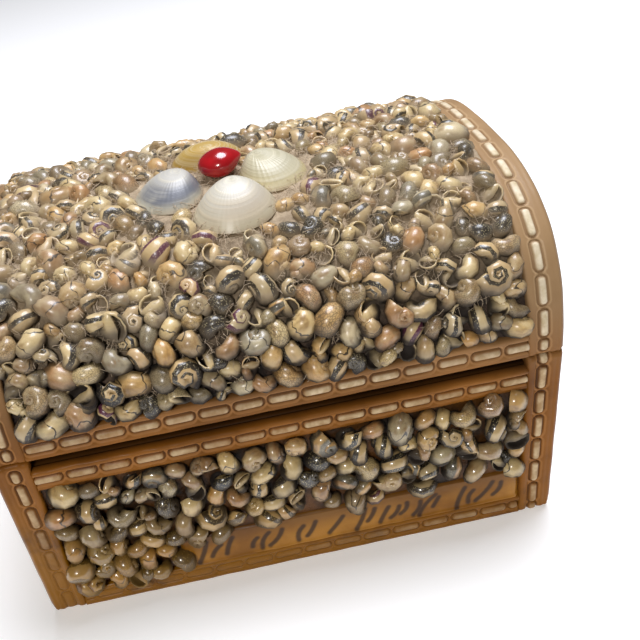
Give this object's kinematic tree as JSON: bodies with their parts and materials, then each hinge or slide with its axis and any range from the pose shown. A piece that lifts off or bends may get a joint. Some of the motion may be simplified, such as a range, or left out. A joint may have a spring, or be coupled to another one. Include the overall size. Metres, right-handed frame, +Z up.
{
  "type": "shell box",
  "caption": "Small vault-lidded keepsake chest in caramel plastic, its lid and panels crusted with glued snail shells and topped by a clam-shell flower with a red seed.",
  "frame": {"origin": "on the plane that the box stands on, under the middle of the underside", "axes": "+Z up, +X along the length of the box, -Y out of the front panel"},
  "size_m": [0.115, 0.0893, 0.0835],
  "materials": {
    "plastic": "satin moulded leather look, caramel brown",
    "snail_shells": "varnished little sea snail shells, cream to black, dusty in the crevices",
    "cream_clam": "cream clam valve, softly shiny",
    "grey_clam": "cream clam valve with a blue-grey bloom",
    "yellow_clam": "cream clam valve, yellow at the rim",
    "seed": "polished red seed"
  },
  "bodies": {
    "root": {"chest_base": "plastic", "vaulted_lid": "plastic", "front_snail_shells": "snail_shells", "back_snail_shells": "snail_shells", "lid_snail_shells": "snail_shells", "front_clam": "cream_clam", "left_clam": "grey_clam", "right_clam": "yellow_clam", "back_clam": "yellow_clam", "red_seed": "seed"}
  },
  "joints": []
}
